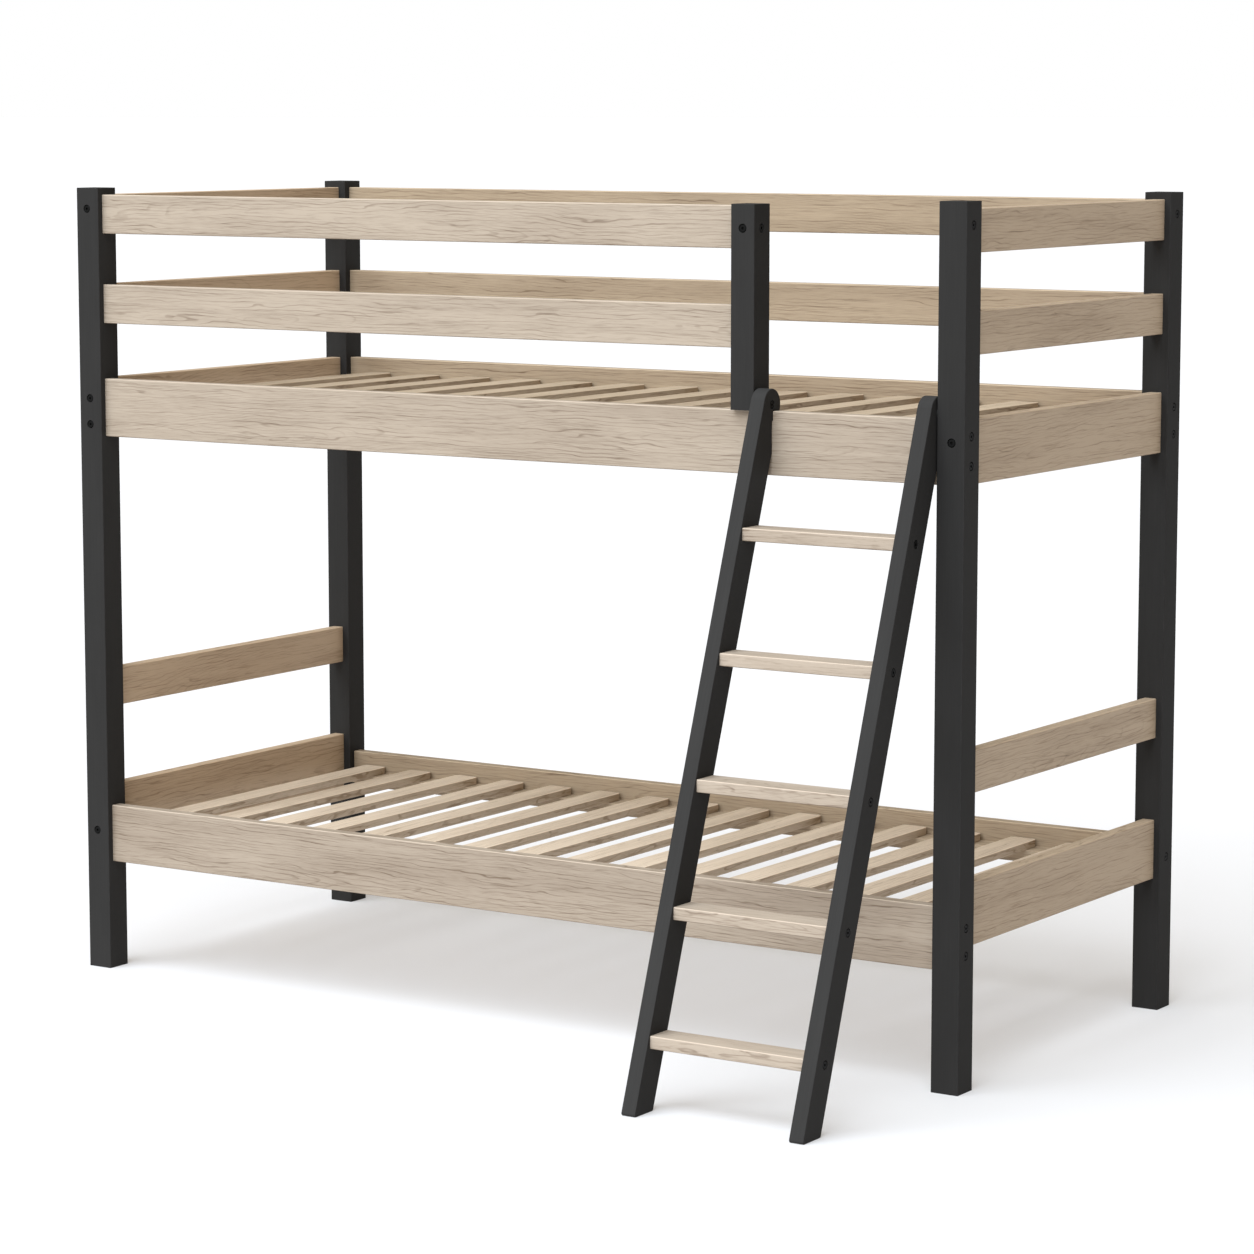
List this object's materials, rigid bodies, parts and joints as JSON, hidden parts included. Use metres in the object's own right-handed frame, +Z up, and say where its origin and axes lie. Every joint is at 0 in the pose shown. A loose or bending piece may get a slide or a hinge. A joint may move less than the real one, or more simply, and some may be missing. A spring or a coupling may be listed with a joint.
{
  "type": "bunk bed",
  "caption": "Bunk bed with slatted decks between square posts, guard rails above, and a slanted ladder that hangs on pivot bolts with its feet on the floor.",
  "frame": {"origin": "bottom centre of the box around the whole bed with its ladder, on the floor", "axes": "+X along the bed from the left end to the ladder end, +Y from the ladder side to the back, +Z up"},
  "size_m": [2.084, 1.3592, 1.64],
  "materials": {
    "black_paint": "satin black paint on wood",
    "oak": "matt limed oak with open grain",
    "slat_wood": "sanded, lightly oiled",
    "black_steel": "black oxide, satin",
    "steel": "zinc plated",
    "dowel_wood": "fluted beech, raw",
    "nylon": "black, moulded"
  },
  "bodies": {
    "bed": {"back_left_post": "black_paint", "back_lower_ledger": "slat_wood", "back_lower_rail": "oak", "back_right_post": "black_paint", "back_second_guard_rail": "oak", "back_top_guard_rail": "oak", "back_upper_ledger": "slat_wood", "back_upper_rail": "oak", "frame_bolts": "black_steel", "frame_dowels": "dowel_wood", "frame_inserts": "steel", "front_left_post": "black_paint", "front_lower_ledger": "slat_wood", "front_lower_rail": "oak", "front_right_post": "black_paint", "front_second_guard_rail": "oak", "front_top_guard_rail": "oak", "front_upper_ledger": "slat_wood", "front_upper_rail": "oak", "guard_post": "black_paint", "guard_post_screws": "steel", "hole_plugs": "black_steel", "ledger_screws": "steel", "left_head_end_rail": "oak", "left_lower_end_rail": "oak", "left_second_end_rail": "oak", "left_top_end_rail": "oak", "left_upper_end_rail": "oak", "lower_slats": "slat_wood", "pivot_bolts": "black_steel", "pivot_inserts": "steel", "pivot_spacers": "nylon", "right_head_end_rail": "oak", "right_lower_end_rail": "oak", "right_second_end_rail": "oak", "right_top_end_rail": "oak", "right_upper_end_rail": "oak", "slat_pins": "dowel_wood", "upper_slats": "slat_wood"},
    "ladder": {"left_stile": "black_paint", "right_stile": "black_paint", "tread_1": "oak", "tread_2": "oak", "tread_3": "oak", "tread_4": "oak", "tread_5": "oak", "tread_bolts": "black_steel", "tread_inserts": "steel", "tread_dowels": "dowel_wood"}
  },
  "joints": [
    {"name": "ladder_swing", "type": "hinge", "parent": "bed", "child": "ladder", "pos_m": [0, -0.20936, 1.258], "axis": [-1, 0, 0], "range_deg": [0, 70]}
  ]
}
